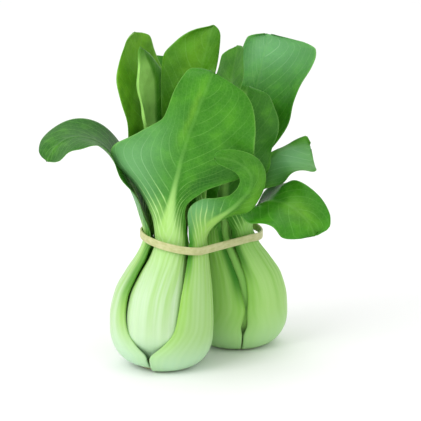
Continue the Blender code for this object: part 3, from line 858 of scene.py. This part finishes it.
def leaf_finish(name, colours, groups):
    """A leaf from its pale foot to its green tip, with the stalk's colours under the blade's."""
    made, w, shader = new_finish(name)
    place = w.attribute("flat_place", "Vector")
    blade = w.attribute("blade")
    across = w.math("ABSOLUTE", w.attribute("across"))
    inner = w.attribute("inner")
    height = w.attribute("height")
    wing_share = w.attribute("wing")
    veins = w.group(groups["ribs_and_veins"], {
        "Course": w.attribute("course"), "Width": w.attribute("width"), "Strength": w.attribute("strength"),
    })
    net = w.group(groups["leaf_net"], {"Place": place, "Cell": 1.9})
    fine_streaks = w.group(groups["stalk_streaks"], {"Place": place, "Strings": 0.9})["Streaks"]
    broad_streaks = w.group(groups["stalk_streaks"], {"Place": place, "Strings": 0.2})["Streaks"]
    midrib = w.ramp(w.attribute("midrib"), 0.12, 0.6, 1, 0)

    stalk = w.mix(w.ramp(height, 2, 30), colours.foot, colours.stalk)
    stalk = w.mix(w.ramp(height, 40, 78), stalk, colours.neck)
    margin = w.math("MULTIPLY", w.ramp(across, 0.5, 1.0), w.ramp(height, 4, 40, 0.2, 0.85))
    stalk = w.mix(margin, stalk, colours.stalk_margin)
    broad = w.math("MULTIPLY", w.ramp(broad_streaks, 0.42, 0.66, 0, 0.55), w.ramp(height, 8, 50))
    stalk = w.mix(broad, stalk, colours.stalk_margin)
    fine = w.math("MULTIPLY", w.ramp(fine_streaks, 0.45, 0.7, 0, 0.3), w.ramp(height, 12, 60))
    stalk = w.mix(fine, stalk, colours.stalk_margin)
    greener = w.math("MULTIPLY", w.attribute("greener"), w.ramp(height, 4, 24, 0.2, 1))
    stalk = w.mix(greener, stalk, colours.stalk_margin)
    stalk = w.mix(w.math("MULTIPLY", veins["Veins"], 0.35), stalk, colours.rib)
    stalk = w.mix(wing_share, stalk, colours.wing)

    side = w.mix(inner, colours.outer, colours.inner)
    # Yellower and darker: the leaf's own tone with painted highlights and painted shade
    side = w.mix(w.ramp(w.attribute("tone"), 0, 1), side, YELLOWER_AND_PAINTED_LIGHT)
    side = w.mix(w.ramp(w.attribute("tone"), 0, -1), side, DARKER_AND_PAINTED_SHADE)
    mottled = w.mix(w.ramp(net["Mottle"], 0.35, 0.7, 0, 0.5), side, colours.deep)
    lit = w.mix(w.ramp(net["Mottle"], 0.5, 0.25, 0, 0.4), mottled, colours.fresh)
    netted = w.mix(w.math("MULTIPLY", net["Net"], 0.07), lit, colours.vein)
    # Painted sheen: a pale patch standing in for the light's reflection
    with_painted_sheen = w.mix(w.math("MULTIPLY", w.attribute("bloom"), 0.55), netted, colours.bloom)
    fine_veins = w.math("MULTIPLY", veins["Fine Line"], w.ramp(blade, 0.1, 0.85, 0.65, 0.5))
    fine_veins = w.math("MULTIPLY", fine_veins, w.math("ADD", 0.8, w.math("MULTIPLY", inner, 0.35)))
    fine_veins = w.math("MULTIPLY", fine_veins, w.ramp(blade, 0.08, 0.32, 0.45, 1))
    broad_veins = w.math("MULTIPLY", veins["Veins"], w.ramp(blade, 0.1, 0.45, 0.8, 0.14))
    broad_veins = w.math("MULTIPLY", broad_veins, w.ramp(across, 0.4, 0.9, 1, 0.5))
    vein_share = w.math("MAXIMUM", fine_veins, broad_veins)
    # Veins show paler inside the painted sheen
    vein_under_sheen = w.mix(w.attribute("bloom"), colours.vein, PAINTED_SHEEN_VEIN)
    veined = w.mix(vein_share, with_painted_sheen, vein_under_sheen)
    rib_share = w.math("MULTIPLY", midrib, w.ramp(blade, 0.08, 0.6, 0.85, 0.12))
    ribbed = w.mix(rib_share, veined, w.mix(w.ramp(blade, 0, 0.6), colours.neck, colours.vein))
    ribbed = w.mix(w.ramp(across, 0.965, 0.995, 0, 0.35), ribbed, colours.vein)
    pale = w.math("MULTIPLY", w.attribute("pale"), w.ramp(net["Mottle"], 0.3, 0.7, 0.95, 0.6))
    ribbed = w.mix(pale, ribbed, PALE_SIDE)

    reach = w.math("ADD", w.attribute("reach"), w.math("MULTIPLY", w.math("POWER", across, 3), 0.14))
    reach = w.math("SUBTRACT", reach, w.math("MULTIPLY", veins["Veins"], 0.17))
    reach = w.math("SUBTRACT", reach, w.math("MULTIPLY", midrib, 0.12))
    reach = w.math("ADD", reach, w.math("MULTIPLY", w.math("SUBTRACT", net["Mottle"], 0.5), 0.12))
    green = w.ramp(reach, colours.greens_from, colours.greens_to)
    colour = w.mix(green, stalk, ribbed)
    cut = w.ramp(height, 0.2, 0.8, 0.7, 0)
    colour = w.mix(cut, colour, BROWNED_FOOT)

    relief = w.math("MULTIPLY", veins["Veins"], 0.45)
    relief = w.math("ADD", relief, w.math("MULTIPLY", fine_streaks, w.ramp(blade, -0.1, 0.2, 0.55, 0)))
    net_relief = w.math("MULTIPLY", net["Net"], w.ramp(blade, 0.02, 0.3, 0, 0.12))
    relief = w.math("ADD", relief, net_relief)
    bump = w.add("ShaderNodeBump", {"Height": relief, "Strength": 0.45, "Distance": 0.0004})
    rough = w.math("ADD", colours.shine, w.math("MULTIPLY", net["Mottle"], 0.14))

    links = made.node_tree.links
    links.new(colour, shader.inputs["Base Color"])
    links.new(bump.outputs[0], shader.inputs["Normal"])
    links.new(rough, shader.inputs["Roughness"])
    shader.inputs["IOR"].default_value = 1.38
    shader.inputs["Specular IOR Level"].default_value = 0.28
    shader.inputs["Subsurface Weight"].default_value = 0.06
    shader.inputs["Subsurface Radius"].default_value = (0.6, 1.0, 0.3)
    shader.inputs["Subsurface Scale"].default_value = 0.003
    return made


def cut_stem_finish():
    """Pale pith with a browner rind."""
    made, w, shader = new_finish("cut_stem")
    ring = w.attribute("ring")
    place = w.attribute("flat_place", "Vector")
    grain = w.add("ShaderNodeTexNoise", {"Vector": place, "Scale": 0.6, "Detail": 4.0})
    pith = w.mix(w.ramp(ring, 0.55, 0.75), (0.80, 0.83, 0.62, 1), (0.66, 0.76, 0.42, 1))
    rind = w.mix(w.ramp(ring, 0.86, 0.97), pith, (0.60, 0.58, 0.34, 1))
    browned = w.mix(w.ramp(grain.outputs["Fac"], 0.5, 0.75, 0, 0.5), rind, (0.50, 0.42, 0.22, 1))
    bump = w.add("ShaderNodeBump", {"Height": grain.outputs["Fac"], "Strength": 0.5, "Distance": 0.0006})
    links = made.node_tree.links
    links.new(browned, shader.inputs["Base Color"])
    links.new(bump.outputs[0], shader.inputs["Normal"])
    links.new(w.ramp(grain.outputs["Fac"], 0.3, 0.7, 0.4, 0.65), shader.inputs["Roughness"])
    return made


def rubber_finish():
    """Tan rubber with fine lines along it."""
    made, w, shader = new_finish("tan_rubber")
    place = w.attribute("flat_place", "Vector")
    drawn = w.add("ShaderNodeVectorMath", {0: place, 1: (0.3, 2.2, 1.0)}, operation="MULTIPLY")
    lines = w.add("ShaderNodeTexNoise", {"Vector": drawn.outputs[0], "Scale": 1.0, "Detail": 3.0})
    dust = w.add("ShaderNodeTexNoise", {"Vector": place, "Scale": 0.25, "Detail": 2.0})
    colour = w.mix(w.ramp(dust.outputs["Fac"], 0.35, 0.65), (0.44, 0.46, 0.18, 1), (0.54, 0.54, 0.26, 1))
    colour = w.mix(w.ramp(lines.outputs["Fac"], 0.4, 0.7, 0, 0.3), colour, (0.68, 0.68, 0.42, 1))
    bump = w.add("ShaderNodeBump", {"Height": lines.outputs["Fac"], "Strength": 0.4, "Distance": 0.0003})
    links = made.node_tree.links
    links.new(colour, shader.inputs["Base Color"])
    links.new(bump.outputs[0], shader.inputs["Normal"])
    links.new(w.ramp(dust.outputs["Fac"], 0.3, 0.7, 0.42, 0.6), shader.inputs["Roughness"])
    return made


def floor_finish():
    """A plain pale floor."""
    made, w, shader = new_finish("pale_floor")
    noise = w.add("ShaderNodeTexNoise", {"Scale": 3.0, "Detail": 2.0})
    colour = w.mix(noise.outputs["Fac"], (0.90, 0.90, 0.90, 1), (0.92, 0.92, 0.92, 1))
    made.node_tree.links.new(colour, shader.inputs["Base Color"])
    shader.inputs["Roughness"].default_value = 0.8
    return made


GROUPS = {
    "ribs_and_veins": build_ribs_and_veins(),
    "leaf_net": build_leaf_net(),
    "stalk_streaks": build_stalk_streaks(),
}
FINISHES = {
    "leaf": leaf_finish("green_leaf", LeafColours(
        foot=(0.50, 0.74, 0.51, 1), stalk=(0.53, 0.71, 0.45, 1), stalk_margin=(0.27, 0.54, 0.07, 1),
        neck=(0.40, 0.68, 0.20, 1), rib=(0.60, 0.79, 0.46, 1), wing=(0.045, 0.24, 0.010, 1),
        vein=(0.24, 0.55, 0.11, 1), outer=(0.044, 0.22, 0.008, 1), inner=(0.028, 0.17, 0.003, 1),
        deep=(0.020, 0.14, 0.004, 1), fresh=(0.09, 0.34, 0.012, 1), bloom=(0.21, 0.48, 0.22, 1),
        shine=0.36, greens_from=0.0, greens_to=0.27), GROUPS),
    "rear_leaf": leaf_finish("darker_leaf", LeafColours(
        foot=(0.40, 0.66, 0.30, 1), stalk=(0.36, 0.62, 0.18, 1), stalk_margin=(0.20, 0.47, 0.05, 1),
        neck=(0.24, 0.52, 0.10, 1), rib=(0.44, 0.66, 0.26, 1), wing=(0.030, 0.18, 0.006, 1),
        vein=(0.20, 0.48, 0.10, 1), outer=(0.058, 0.25, 0.016, 1), inner=(0.034, 0.21, 0.006, 1),
        deep=(0.018, 0.13, 0.004, 1), fresh=(0.09, 0.34, 0.014, 1), bloom=(0.21, 0.50, 0.24, 1),
        shine=0.34, greens_from=-0.06, greens_to=0.18), GROUPS),
    "heart_leaf": leaf_finish("young_leaf", LeafColours(
        foot=(0.56, 0.76, 0.44, 1), stalk=(0.56, 0.76, 0.34, 1), stalk_margin=(0.42, 0.66, 0.15, 1),
        neck=(0.42, 0.66, 0.17, 1), rib=(0.58, 0.78, 0.40, 1), wing=(0.16, 0.42, 0.04, 1),
        vein=(0.32, 0.56, 0.12, 1), outer=(0.13, 0.38, 0.04, 1), inner=(0.10, 0.34, 0.025, 1),
        deep=(0.07, 0.27, 0.02, 1), fresh=(0.18, 0.44, 0.04, 1), bloom=(0.24, 0.48, 0.20, 1),
        shine=0.4, greens_from=0.0, greens_to=0.5), GROUPS),
}
CUT_STEM = cut_stem_finish()
TAN_RUBBER = rubber_finish()


def add_stem(head):
    """The short stem, turned from a profile, with an uneven cut end."""
    top = STEM_RADIUS - STEM_TAPER * STEM_TOP
    shares = np.linspace(0, 1, STEM_RINGS)[1:]
    profile = [(r, 0.0, r) for r in shares]
    profile += [(1 - (1 - top / STEM_RADIUS) * s, s, 1.0) for s in shares]
    bm = bmesh.new()
    ring_layer = bm.verts.layers.float.new("ring")
    place_layer = bm.verts.layers.float_vector.new("flat_place")
    centre = head_centre(head, 0.0)
    rounding = np.linspace(0, math.pi / 2, 6)[1:]
    rings = [(r * STEM_RADIUS, z * STEM_TOP, share) for r, z, share in profile]
    rings += [(top * math.cos(a), STEM_TOP + top * math.sin(a), 1.0) for a in rounding[:-1]]

    def vert(x, y, z, share):
        made = bm.verts.new((centre[0] + x, centre[1] + y, z))
        made[ring_layer] = share
        made[place_layer] = (x / MM, y / MM, z / MM)
        return made

    low = vert(0, 0, CUT_DISH, 0)
    loops = []
    for radius, z, share in rings:
        loop = []
        for i in range(STEM_AROUND):
            a = 2 * math.pi * i / STEM_AROUND
            uneven = 1 - 0.012 * (1 + math.sin(3 * a + 0.7)) - 0.008 * (1 + math.sin(7 * a))
            dish = CUT_DISH * (1 - share) * (0.7 + 0.3 * math.sin(5 * a + 9 * share))
            x, y = radius * uneven * math.cos(a), radius * uneven * math.sin(a)
            loop.append(vert(x, y, z if z > 0 else dish, share))
        loops.append(loop)
    peak = vert(0, 0, STEM_TOP + top, 1)
    for i in range(STEM_AROUND):
        j = (i + 1) % STEM_AROUND
        bm.faces.new((low, loops[0][j], loops[0][i]))
        bm.faces.new((peak, loops[-1][i], loops[-1][j]))
        for inner, outer in zip(loops, loops[1:]):
            bm.faces.new((inner[i], inner[j], outer[j], outer[i]))
    bmesh.ops.recalc_face_normals(bm, faces=bm.faces)
    mesh = bpy.data.meshes.new(f"stem_{head}_form")
    bm.to_mesh(mesh)
    bm.free()
    mesh.shade_smooth()
    mesh.materials.append(CUT_STEM)
    piece = bpy.data.objects.new(f"stem_{head}_cut", mesh)
    bpy.context.scene.collection.objects.link(piece)
    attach(piece, BODY)
    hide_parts(f"stem_{head}")


def band_path():
    """Points round both necks, as a stretched band lies, with the outward direction at each."""
    around = np.linspace(0, 2 * math.pi, BAND_STEPS, endpoint=False)
    outward = np.stack([np.cos(around), np.sin(around)], 1)
    line = np.array([math.cos(HEADS_LINE), math.sin(HEADS_LINE)])
    on_rear = outward @ line > 0
    points = []
    for out, rear in zip(outward, on_rear):
        height = BAND_HEIGHT - BAND_TILT * out[0]
        centre = head_centre("rear" if rear else "front", height - BAND_WIDTH / 2)
        clear = BAND_CLEAR * (BAND_FIT[0] - BAND_FIT[1] * out[0])
        radius = outline_radius(height - BAND_WIDTH / 2) + clear
        points.append((*(centre + out * radius), height))
    return np.array(points), outward


def add_band():
    """A flat band with rounded edges, turned once on edge where it spans between the heads."""
    points, outward = band_path()
    closed = np.vstack([points, points[:1]])
    steps = np.linalg.norm(np.diff(closed, axis=0), axis=1)
    lengths = np.concatenate([[0], np.cumsum(steps)])
    wanted = np.linspace(0, lengths[-1], BAND_ALONG, endpoint=False)
    outs = np.vstack([outward, outward[:1]])
    path = np.stack([np.interp(wanted, lengths, closed[:, k]) for k in range(3)], 1)
    out = unit(np.stack([np.interp(wanted, lengths, outs[:, k]) for k in range(2)], 1))
    out = np.concatenate([out, np.zeros((BAND_ALONG, 1))], 1)
    span_from = lengths[BAND_STEPS - BAND_STEPS // 8 - 1]
    span_to = lengths[BAND_STEPS - BAND_STEPS // 8]
    up = np.array([0, 0, 1.0])
    half_w, half_t = BAND_WIDTH / 2, BAND_THICK / 2
    section = []
    for i in range(BAND_ROUND):
        a = 2 * math.pi * i / BAND_ROUND
        c, s = math.cos(a), math.sin(a)
        thick_way = half_t * math.copysign(abs(c) ** 0.5, c)
        section.append((thick_way, half_w * math.copysign(abs(s) ** 0.35, s)))
    middle = (span_from + span_to) / 2
    reach = (span_to - span_from) / 2
    twist = BAND_TWIST * np.clip(1 - ((wanted - middle) / reach) ** 2, 0, 1)
    verts = []
    flat = []
    for i in range(BAND_ALONG):
        c, s = math.cos(twist[i]), math.sin(twist[i])
        axis_out = out[i] * c + up * s
        axis_up = up * c - out[i] * s
        centre = path[i] + out[i] * half_t
        for d, h in section:
            verts.append(centre + axis_out * d + axis_up * h)
            flat.append((wanted[i] / MM, h / MM, d / MM))
    n = len(section)
    faces = []
    for i in range(BAND_ALONG):
        j = (i + 1) % BAND_ALONG
        for k in range(n):
            m = (k + 1) % n
            faces.append((i * n + k, j * n + k, j * n + m, i * n + m))
    mesh = bpy.data.meshes.new("rubber_band_form")
    mesh.from_pydata([tuple(v) for v in verts], [], faces)
    mesh.validate()
    mesh.shade_smooth()
    layer = mesh.attributes.new("flat_place", "FLOAT_VECTOR", "POINT")
    layer.data.foreach_set("vector", np.array(flat, np.float32).ravel())
    mesh.materials.append(TAN_RUBBER)
    piece = bpy.data.objects.new("rubber_band_stretched", mesh)
    bpy.context.scene.collection.objects.link(piece)
    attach(piece, BODY)
    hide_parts("rubber_band")


def add_floor():
    bm = bmesh.new()
    bmesh.ops.create_grid(bm, x_segments=8, y_segments=8, size=20)
    mesh = bpy.data.meshes.new("floor_form")
    bm.to_mesh(mesh)
    bm.free()
    mesh.materials.append(floor_finish())
    floor = bpy.data.objects.new("floor", mesh)
    bpy.context.scene.collection.objects.link(floor)


def add_softbox(name, place, aim, size, power, colour=(1, 1, 1)):
    lamp = bpy.data.lights.new(name, "AREA")
    lamp.shape = "SQUARE"
    lamp.size = size
    lamp.energy = power
    lamp.color = colour
    holder = bpy.data.objects.new(name, lamp)
    holder.location = place
    holder.rotation_mode = "QUATERNION"
    holder.rotation_quaternion = (Vector(aim) - Vector(place)).to_track_quat("-Z", "Y")
    bpy.context.scene.collection.objects.link(holder)


def add_lights():
    middle = (0.0, 0.0, 0.09)
    add_softbox("key_left", (-0.8, -0.75, 0.85), middle, 0.7, 7)
    add_softbox("top", (0.05, 0.25, 1.2), middle, 0.9, 2.5)
    world = bpy.data.worlds.new("studio")
    world.use_nodes = True
    sky = world.node_tree.nodes["Background"]
    sky.inputs["Color"].default_value = (1, 1, 1, 1)
    sky.inputs["Strength"].default_value = 0.98
    bpy.context.scene.world = world


def add_camera():
    data = bpy.data.cameras.new("camera")
    data.sensor_width = SENSOR
    data.lens = SENSOR * CAMERA_AWAY / (PIXELS_ACROSS * PIXEL)
    camera = bpy.data.objects.new("camera", data)
    back = Vector((0, -math.cos(CAMERA_RISE), math.sin(CAMERA_RISE)))
    camera.location = CAMERA_AIM + back * CAMERA_AWAY
    camera.rotation_mode = "QUATERNION"
    camera.rotation_quaternion = (-back).to_track_quat("-Z", "Y")
    bpy.context.scene.collection.objects.link(camera)
    bpy.context.scene.camera = camera


cad_limits = box_limits()
for one in LEAVES:
    add_leaf(one)
for one in SIDE_OF:
    add_stem(one)
add_band()
add_floor()
add_lights()
add_camera()
bpy.context.scene.view_settings.view_transform = "Standard"
